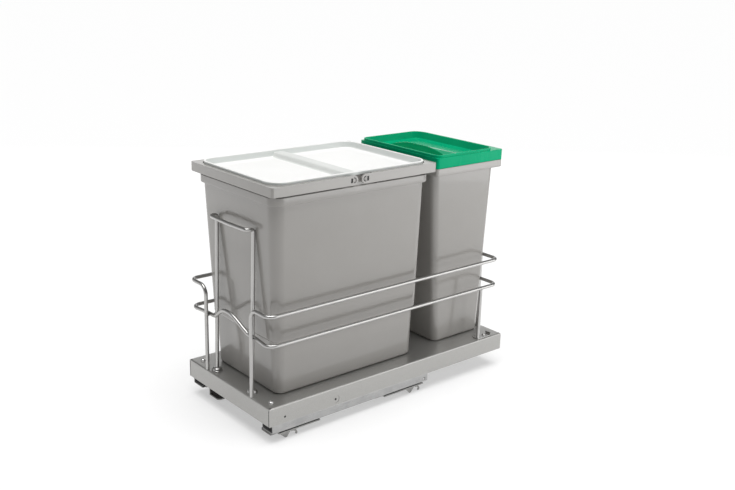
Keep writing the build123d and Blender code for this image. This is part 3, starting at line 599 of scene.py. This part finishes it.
def makeFerrules(size=ferrule):
    # a turned ferrule round each foot of the loop: flange, waist and a domed collar, whose profile is
    # radius = collar + (waist - collar) * cos a, height = shoulder + (top - shoulder) * sin a
    flange, height, edge, shoulder = size["flange"], size["flangeHeight"], size["edge"], size["shoulder"]
    profile = [(flange - size["lowEdge"], 0), (flange, size["lowEdge"]), (flange, height - edge),
               (flange - edge, height), (size["waist"], height)]
    profile += [(size["collar"] + (size["waist"] - size["collar"]) * math.cos(a),
                 shoulder + (size["top"] - shoulder) * math.sin(a))
                for a in np.linspace(0, math.pi / 2, size["domeSteps"])]
    places = [(side * basket["loopHalf"], loopFoot(), basket["trayTop"]) for side in (-1, 1)]
    return joinPieces("loopFerrules", [turnedPiece("ferrule", profile, place, (0, 0, 1), wireNickel)
                                       for place in places])


screwShape = {"domeAngle": 1.25, "domeSteps": 8, "domePower": 0.7, "driveEdge": (0.9, 0.8), "driveFloor": (0.35, 0.55)}
deckScrews = {"x": 97.0, "y": -235.0, "z": 60.0, "radius": 4.1, "height": 2.8}


def screwHead(place, radius, height, size=screwShape):
    # a domed head with a small countersunk drive: r = radius * cos a, h = height * sin a to the domePower
    dome = np.linspace(0, size["domeAngle"], size["domeSteps"])
    profile = [(radius * math.cos(a), height * math.sin(a) ** size["domePower"]) for a in dome]
    drive = radius * math.cos(size["domeAngle"])
    profile += [(drive * across, height * up) for across, up in (size["driveEdge"], size["driveFloor"])]
    return turnedPiece("screw", profile, place, (0, 0, 1), screwSteel)


def makeDeckScrews(size=deckScrews):
    return joinPieces("deckScrews", [screwHead((side * size["x"], size["y"], size["z"]), size["radius"],
                                               size["height"]) for side in (-1, 1)])


rearLeg = {"width": 14.0, "length": 34.0, "sheet": 1.6, "corner": 3.0, "gap": 0.02, "flat": 2.0,
           "plateRounds": (0.2, 0.4), "lip": 4.5, "lipInset": 1.0, "lipCorner": 0.7, "lipGap": 0.5, "lipFlat": 0.5,
           "lipRounds": (0.2, 0.5), "wireStop": 2.8, "screwBack": 19.0, "screwRadius": 3.6, "screwHeight": 2.2}


def slabPiece(name, outline, flat, low, high, rounds):
    # a low block with a rounded outline and soft edges
    rows = [insetRow(outline, inset, z) for inset, z in ((flat, low), (0, low), (0, high), (flat, high))]
    return shellPiece(name, rows, rounds, wireNickel)


def makeRearLeg(side, size=rearLeg):
    # the leg's wire on a small plate with rounded corners, a low turned-up lip and a screw
    x, y, z = side * basket["railHalf"], basket["rearLegY"], basket["trayTop"]
    half = size["width"] / 2
    middle = side * (basket["railHalf"] + basket["radius"] - half)
    front = y - basket["radius"]
    rear = front + size["length"]
    path = bentPath([(x, y, z), (x, y, basket["lowerZ"] - size["wireStop"])], [])
    wire = wirePiece("leg", path, basket["radius"], wireNickel)
    base = slabPiece("plate", (half, front, rear, size["corner"], z), size["flat"], z + size["gap"],
                     z + size["sheet"], size["plateRounds"])
    lip = slabPiece("lip", (half - size["lipInset"], rear - size["sheet"], rear, size["lipCorner"], z),
                    size["lipFlat"], z + size["lipGap"], z + size["lip"], size["lipRounds"])
    for part in (base, lip):
        part.data.transform(Matrix.Translation((middle * mm, 0, 0)))
    screw = screwHead((middle, y + size["screwBack"], z + size["sheet"]), size["screwRadius"], size["screwHeight"])
    return joinPieces(sideName("rearLeg", side), [wire, base, lip, screw])


finishPiece(makeUpperRail(), "carriage", "bright_wire", "upper_rail")
finishPiece(makeLowerRail(), "carriage", "bright_wire", "lower_rail")
finishPiece(makeFrontLoop(), "carriage", "bright_wire", "front_loop")
finishPiece(makeWelds(), "carriage", "bright_wire")
finishPiece(makeFerrules(), "carriage", "bright_wire", "loop_feet")
finishPiece(makeDeckScrews(), "carriage", "zinc", "tray_screws")
for side, name in ((-1, "left"), (1, "right")):
    finishPiece(makeRearLeg(side), "carriage", "bright_wire", "rear_leg_" + name)
print("wires made")

# slide ends and small openings of the tray
slideEnd = {"inner": 85.0, "outer": 113.7, "low": 16.5, "high": 30.2, "wall": 1.25, "front": -243.4, "member": -238.0,
            "webStart": 2.0, "round": 1.3, "edgeRound": 0.2}
slideCap = {"tongue": 57.2, "front": -242.6, "setIn": 0.25, "dish": 1.4, "rearGap": 0.2, "corner": 1.5,
            "dishCorner": 1.0, "border": 2.6, "dishFoot": 3.0, "dishFlat": 5.0, "rearFlat": 4.0,
            "rounds": (0.2, 0.2, 0.6, 0.2)}
holeShades = {"x": 114.94, "depth": 1.0, "radius": 1.78, "edge": 0.2, "y": (-222.0, -126.0), "z": 40.5}
cornerSlitShade = {"x": 113.1, "half": 0.75, "front": -250.03, "rear": -248.9, "low": 30.6, "high": 56.8}


def makeSlideNose(side, size=slideEnd):
    # the steel section's last millimetres: outer wall and lower web, bent at a small radius
    outer, low, high, wall = size["outer"], size["low"], size["high"], size["wall"]
    inner, edge = size["inner"] + size["webStart"], size["edgeRound"]
    corners = [(outer - wall, high), (outer, high), (outer, low), (inner, low), (inner, low + wall),
               (outer - wall, low + wall), (outer - wall, high)]
    line = softLine(corners, [0, size["round"] + wall, edge, edge, size["round"]])[:-1]
    return alongY(sideName("slideNose", side), line, size["front"], size["member"], side, slideSteel)


def makeCapInsert(side, size=slideEnd, cap=slideCap):
    # black cap set into the section's end, with a dished front: rounded rectangles in the XZ plane carried along Y
    half = (size["outer"] - size["wall"] - size["inner"]) / 2 - cap["setIn"]
    middle = (size["outer"] - size["wall"] + size["inner"]) / 2
    low, high = size["low"] + size["wall"] + cap["setIn"], cap["tongue"]
    front, dish, rear = cap["front"], cap["front"] + cap["dish"], size["member"] - cap["rearGap"]
    corner, inner = cap["corner"], cap["dishCorner"]
    rows = [(half - inset, low + inset, high - inset, y, radius, radius) for inset, y, radius in (
        (cap["dishFlat"], dish, inner), (cap["dishFoot"], dish, inner), (cap["border"], front, inner),
        (0, front, corner), (0, rear, corner), (cap["rearFlat"], rear, inner))]
    grid = ringGrid(softLine(rows, cap["rounds"]))[:, ::-1, [0, 2, 1]]
    grid[:, :, 0] = side * (grid[:, :, 0] + middle)
    return gridPiece(sideName("capInsert", side), grid if side > 0 else grid[:, ::-1], blackPlastic)


def makeHoleShades(size=holeShades):
    # painted shade: dark discs set back in the side holes, standing in for the shade inside them
    radius, edge = size["radius"], size["edge"]
    profile = [(radius, -size["depth"]), (radius, -edge), (radius - edge, 0)]
    return joinPieces("holeShades", [turnedPiece("plug", profile, (side * size["x"], y, size["z"]), (side, 0, 0),
                                                blackPlastic) for side in (-1, 1) for y in size["y"]])


def makeSlitShades(size=cornerSlitShade):
    # painted shade: the shadowed slit of the open fold at each front corner, as a dark strip flush with the flange
    inner, outer, low, high = size["x"] - size["half"], size["x"] + size["half"], size["low"], size["high"]
    line = [(inner, low), (inner, high), (outer, high), (outer, low)]
    return joinPieces("cornerSlitShades", [alongY("seam", line, size["front"], size["rear"], side, blackPlastic)
                                      for side in (-1, 1)])


for side, name in ((-1, "left"), (1, "right")):
    finishPiece(makeSlideNose(side), "carriage", "slide_steel")
    finishPiece(makeCapInsert(side), "carriage", "black_plastic", "front_cap_" + name)
finishPiece(makeHoleShades(), "carriage", "black_plastic")
finishPiece(makeSlitShades(), "carriage", "black_plastic")
print("slide ends made")

# white lid; its profile and rounds run from the hollow underside round the plug and rim to the sunk floor
whiteLid = {"half": 102.0, "yFront": -232.45, "yRear": 65.45, "corner": 24.0, "under": 387.9, "top": 393.5,
            "border": 3.0, "recess": 10.8, "draft": 3.2, "plugInset": 3.1, "plugFront": -228.4, "plugRear": 61.4,
            "plugCorner": 17.4, "plugDepth": 9.0, "wall": 1.8, "underInset": 14.0, "floorInset": 10.0,
            "rounds": (1.0, 0.5, 0.8, 0.3, 0.4, 1.0, 1.0, 2.5)}
lidBar = {"middle": -83.5, "half": 10.0, "drop": 3.5, "bite": 1.5, "foot": 6.0, "sink": 1.0, "gap": 0.02,
          "rounds": (0, 2.5, 2.0, 2.0, 2.5, 0)}


def makeWhiteLid(size=whiteLid):
    rim = (size["half"], size["yFront"], size["yRear"], size["corner"], size["top"])
    plug = (size["half"] - size["plugInset"], size["plugFront"], size["plugRear"], size["plugCorner"], 0)
    wall, under, floor = size["wall"], size["under"], size["top"] - size["recess"]
    plugBottom = under - size["plugDepth"]
    hollow = floor - wall
    pocket = size["border"] + size["draft"]
    profile = [
        insetRow(plug, size["underInset"], hollow), insetRow(plug, wall, hollow), insetRow(plug, wall, plugBottom),
        insetRow(plug, 0, plugBottom), insetRow(plug, 0, under), insetRow(rim, 0, under), rim,
        insetRow(rim, size["border"], size["top"]), insetRow(rim, pocket, floor),
        insetRow(rim, pocket + size["floorInset"], floor)]
    return shellPiece("whiteLidShell", profile, size["rounds"], whitePlastic)


def makeLidBar(size=whiteLid, bar=lidBar):
    # a tapered section in the YZ plane carried along X; its ends follow the sunk tray's drafted walls
    floor, draft = size["top"] - size["recess"], size["draft"]
    foot, face = bar["half"] + draft, floor - bar["gap"]
    half = [(foot + bar["foot"], floor - bar["sink"]), (foot + bar["foot"], face), (foot, face),
            (bar["half"], size["top"] - bar["drop"])]
    y, z = softLine(half + [(-y, z) for y, z in half[::-1]], bar["rounds"]).T
    reach = size["half"] - size["border"] - draft + bar["bite"] + draft * (z - floor) / size["recess"]
    grid = np.stack([np.stack([side * reach, bar["middle"] + y, z], -1) for side in (-1, 1)])
    return gridPiece("whiteLidBar", grid, barShadedWhite)


finishPiece(makeWhiteLid(), "white_lid", "white_plastic", "white_lid")
finishPiece(makeLidBar(), "white_lid", "white_plastic")
print("white lid made")

# green lid, in the same order, with a raised lip round its sunk tray
greenLid = {"half": 97.6, "yFront": 88.6, "yRear": 242.7, "corner": 5.0, "bottom": 374.7, "deck": 392.1, "wall": 2.0,
            "lipHeight": 4.3, "lipWidth": 2.6, "lipSide": 1.6, "lipFront": 1.2, "lipRear": 19.0, "frontCorner": 12.0,
            "rearCorner": 18.0, "recess": 12.0, "draft": 4.0, "underInset": 2.5, "floorInset": 2.3,
            "rounds": (1.0, 0.2, 0.4, 0.3, 0.4, 1.0, 0.3, 0.9, 0.9, 2.0)}
grip = {"half": 72.0, "rise": 12.0, "depth": 46.0, "setback": 48.0, "round": 0.8, "firstStep": 1.5, "sink": 1.0,
        "blend": 0.6, "foot": 1.5, "across": 81, "edgeSteps": 6, "slopeSteps": 30}


def lipRow(inset, z, size=greenLid):
    # the raised lip's outline: tight corners in front, wide ones behind
    return (size["half"] - size["lipSide"] - inset, size["yFront"] + size["lipFront"] + inset,
            size["yRear"] - size["lipRear"] - inset, z, size["frontCorner"] - inset, size["rearCorner"] - inset)


def makeGreenLid(size=greenLid):
    skirt = (size["half"], size["yFront"], size["yRear"], size["corner"], size["deck"])
    wall, lip, deck, draft, bottom = size["wall"], size["lipWidth"], size["deck"], size["draft"], size["bottom"]
    top = deck + size["lipHeight"]
    floor = top - size["recess"]
    under = lip - wall
    ceiling = deck - wall
    underCeiling = under + draft * wall / (deck - floor + wall)
    profile = [
        lipRow(under + draft + size["underInset"], floor - wall), lipRow(under + draft, floor - wall),
        lipRow(underCeiling, ceiling), insetRow(skirt, wall, ceiling), insetRow(skirt, wall, bottom),
        insetRow(skirt, 0, bottom), skirt, lipRow(0, deck), lipRow(0, top), lipRow(lip, top),
        lipRow(lip + draft, floor), lipRow(lip + draft + size["floorInset"], floor)]
    return shellPiece("greenLidShell", profile, size["rounds"], greenPlastic)


def makeGrip(size=grip):
    # z = softer of arch(x) = floor + rise - R + sqrt(R^2 - x^2) and slope(v) = floor - sink + rise * (1 - v / depth),
    # v = the way back along Y, lowered at the front edge by a quarter circle of radius round
    floor = greenLid["deck"] + greenLid["lipHeight"] - greenLid["recess"]
    rise, half, depth, edgeRound = size["rise"], size["half"], size["depth"], size["round"]
    archRadius = (half ** 2 + rise ** 2) / (2 * rise)
    x = np.linspace(-half, half, size["across"])[:, None]
    arch = floor + rise - archRadius + np.sqrt(archRadius ** 2 - x ** 2)
    edge = edgeRound * (1 - np.cos(np.linspace(0, math.pi / 2, size["edgeSteps"])))
    away = np.concatenate([edge, np.linspace(edgeRound * size["firstStep"], depth, size["slopeSteps"])])[None, :]
    slope = floor - size["sink"] + rise * (1 - away / depth)
    height = 0.5 * (arch + slope - np.sqrt((arch - slope) ** 2 + size["blend"]))
    nearEdge = np.clip(1 - away / edgeRound, 0, 1)
    height = height - edgeRound * (1 - np.sqrt(1 - nearEdge ** 2))
    y = greenLid["yFront"] + size["setback"] + away
    top = np.stack([np.broadcast_to(x, height.shape), np.broadcast_to(y, height.shape), height], -1)[:, ::-1]
    feet = top[:, [0, -1]].copy()
    feet[:, :, 2] = floor - size["foot"]
    return gridPiece("greenLidGrip", np.concatenate([feet[:, :1], top, feet[:, 1:]], 1), gripLitGreen)


finishPiece(makeGreenLid(), "green_lid", "green_plastic", "green_lid")
finishPiece(makeGrip(), "green_lid", "green_plastic")
print("green lid made")

# tray and bails: softened copies of their own solids
softening = {"mergeGap": 1e-6, "flatAngle": 1.0, "sharpAngle": 32.0, "segments": 2, "tray": 0.25, "bail": 0.2}


def softenedCopy(node, bevel, material, size=softening):
    # the solid's own mesh with its seams merged, its flat faces made whole and its edges rounded by a bevel
    work = bmesh.new()
    work.from_mesh(nodes[node].data)
    bmesh.ops.remove_doubles(work, verts=work.verts, dist=size["mergeGap"])
    bmesh.ops.dissolve_limit(work, angle_limit=math.radians(size["flatAngle"]), verts=work.verts, edges=work.edges)
    mesh = bpy.data.meshes.new(node + "Soft")
    work.to_mesh(mesh)
    work.free()
    smoothMesh(mesh, material, size["sharpAngle"])
    piece = linkNew(node + "Soft", mesh)
    rounding = piece.modifiers.new("soft edges", "BEVEL")
    rounding.width = bevel * mm
    rounding.segments = size["segments"]
    rounding.limit_method = "ANGLE"
    rounding.angle_limit = math.radians(size["sharpAngle"])
    rounding.harden_normals = True
    return piece


for node, bevel, body, slotName, material in (
        ("base_tray", softening["tray"], "carriage", "tray_paint", trayPaint),
        ("front_bail", softening["bail"], "front_bail", "grey_plastic", greyPlastic),
        ("rear_bail", softening["bail"], "rear_bail", "grey_plastic", greyPlastic)):
    finishPiece(softenedCopy(node, bevel, material), body, slotName, node)
print("edges softened")

# painted shade for the dark depth of the lugs' slots
lugSlot = {"ringX": 109.1, "ringRadius": 3.3, "ringHalf": 0.93, "ringSteps": 48, "inner": 109.0, "outer": 109.5,
           "frontCatchY": -99.0, "rearCatchY": -68.0, "catchHalf": 1.68, "catchHeight": 3.48, "plateRound": 0.1}


def makeLugShadows(name, pivotY, catchY, size=lugSlot):
    # painted shade: a dark ring and a dark plate inside each lug stand in for the shade deep in it, and show only
    # through its C-shaped slot and its catch;
    # ring's path = pivot + radius * (cos a along Y, sin a along Z)
    parts = []
    angle, pivotZ = fullTurn(size["ringSteps"]), pivotPins["z"]
    inner, outer, soft = size["inner"], size["outer"], size["plateRound"]
    low, high = pivotZ - size["catchHeight"], pivotZ + size["catchHeight"]
    line = softLine([(inner, low), (inner, high), (outer, high), (outer, low)], [0, 0, soft, soft])
    for side in (-1, 1):
        path = np.stack([np.full_like(angle, side * size["ringX"]), pivotY + size["ringRadius"] * np.cos(angle),
                         pivotZ + size["ringRadius"] * np.sin(angle)], -1)
        parts.append(wirePiece("ring", path, size["ringHalf"], blackPlastic, closed=True))
        parts.append(alongY("plate", line, catchY - size["catchHalf"], catchY + size["catchHalf"], side, blackPlastic))
    return joinPieces(name, parts)


for bail in ("front", "rear"):
    shadows = makeLugShadows(bail + "LugShadows", pivotPins[bail + "Y"], lugSlot[bail + "CatchY"])
    finishPiece(shadows, bail + "_bail", "black_plastic")
print("lug slots made")

# studio, in metres: pale paper that glows a little, like a backlit table, so that shadows stay light
studio = {
    "white": (1, 1, 1, 1), "paper": (0.5, 0.5, 0.5, 1), "paperGlow": 0.45, "paperRoughness": 0.9, "paperShine": 0.1,
    "floorHalf": 60.0, "worldLight": 0.1,
    "overhead": {"place": (0.3, -0.2, 3.0), "power": 3.15, "softness": 50.0},
    "softboxes": [  # name, place, target, width, height, power
        ("rightRearSoftbox", (1.10, 0.75, 0.45), (0, 0, 0.25), 1.2, 0.9, 7.2),
        ("leftFrontSoftbox", (-0.75, -0.85, 0.45), (0, 0, 0.25), 1.2, 0.9, 1.0),
        ("leftRearBackdrop", (-1.45, 1.25, 0.60), (0, 0.2, 0.2), 1.9, 1.0, 5.0)]}
cameraView = {"place": (1.155, -0.960, 0.694), "azimuth": 49.44, "elevation": 16.81, "roll": 1.55, "lens": 46.28,
              "sensor": 36.0, "clipStart": 0.01}


def aim(thing, place, forward, roll=0.0):
    # right = forward x up, then both turned by roll about the line of sight
    forward = unit(np.asarray(forward, float))
    right = unit(np.cross(forward, (0, 0, 1.0)))
    up = np.cross(right, forward)
    turnedRight = right * math.cos(roll) + up * math.sin(roll)
    turnedUp = up * math.cos(roll) - right * math.sin(roll)
    matrix = np.eye(4)
    matrix[:3, :3] = np.stack([turnedRight, turnedUp, -forward], 1)
    matrix[:3, 3] = place
    thing.matrix_world = Matrix(matrix.tolist())


def makeFloor():
    half = studio["floorHalf"]
    mesh = bpy.data.meshes.new("studioFloor")
    mesh.from_pydata([(-half, -half, 0), (half, -half, 0), (half, half, 0), (-half, half, 0)], [], [(0, 1, 2, 3)])
    material, tree, shader = newMaterial("studioPaper")
    fillNode(tree, shader, {
        "Base Color": studio["paper"], "Emission Color": studio["white"], "Emission Strength": studio["paperGlow"],
        "Roughness": studio["paperRoughness"], "Specular IOR Level": studio["paperShine"]})
    mesh.materials.append(material)
    floor = linkNew("studioFloor", mesh)


def makeLights():
    world = bpy.data.worlds.new("studioWorld")
    world.use_nodes = True
    background = world.node_tree.nodes["Background"]
    fillNode(world.node_tree, background, {"Color": studio["white"], "Strength": studio["worldLight"]})
    bpy.context.scene.world = world
    overhead = bpy.data.lights.new("overheadLight", "SUN")
    overhead.energy = studio["overhead"]["power"]
    overhead.angle = math.radians(studio["overhead"]["softness"])
    place = np.array(studio["overhead"]["place"])
    aim(linkNew("overheadLight", overhead), place, -place)
    for name, place, target, width, height, power in studio["softboxes"]:
        light = bpy.data.lights.new(name, "AREA")
        light.shape = "RECTANGLE"
        light.size = width
        light.size_y = height
        light.energy = power
        softbox = linkNew(name, light)
        softbox.visible_camera = False
        aim(softbox, place, np.subtract(target, place))


def placeCamera(view=cameraView):
    lens = bpy.data.cameras.new("photoCamera")
    lens.lens = view["lens"]
    lens.sensor_width = view["sensor"]
    lens.clip_start = view["clipStart"]
    camera = linkNew("photoCamera", lens)
    azimuth, elevation = math.radians(view["azimuth"]), math.radians(view["elevation"])
    level = math.cos(elevation)
    forward = (-math.sin(azimuth) * level, math.cos(azimuth) * level, -math.sin(elevation))
    aim(camera, view["place"], forward, math.radians(view["roll"]))
    bpy.context.scene.camera = camera


makeFloor()
makeLights()
placeCamera()
bpy.context.scene.view_settings.view_transform = "Standard"
print("studio and camera placed")
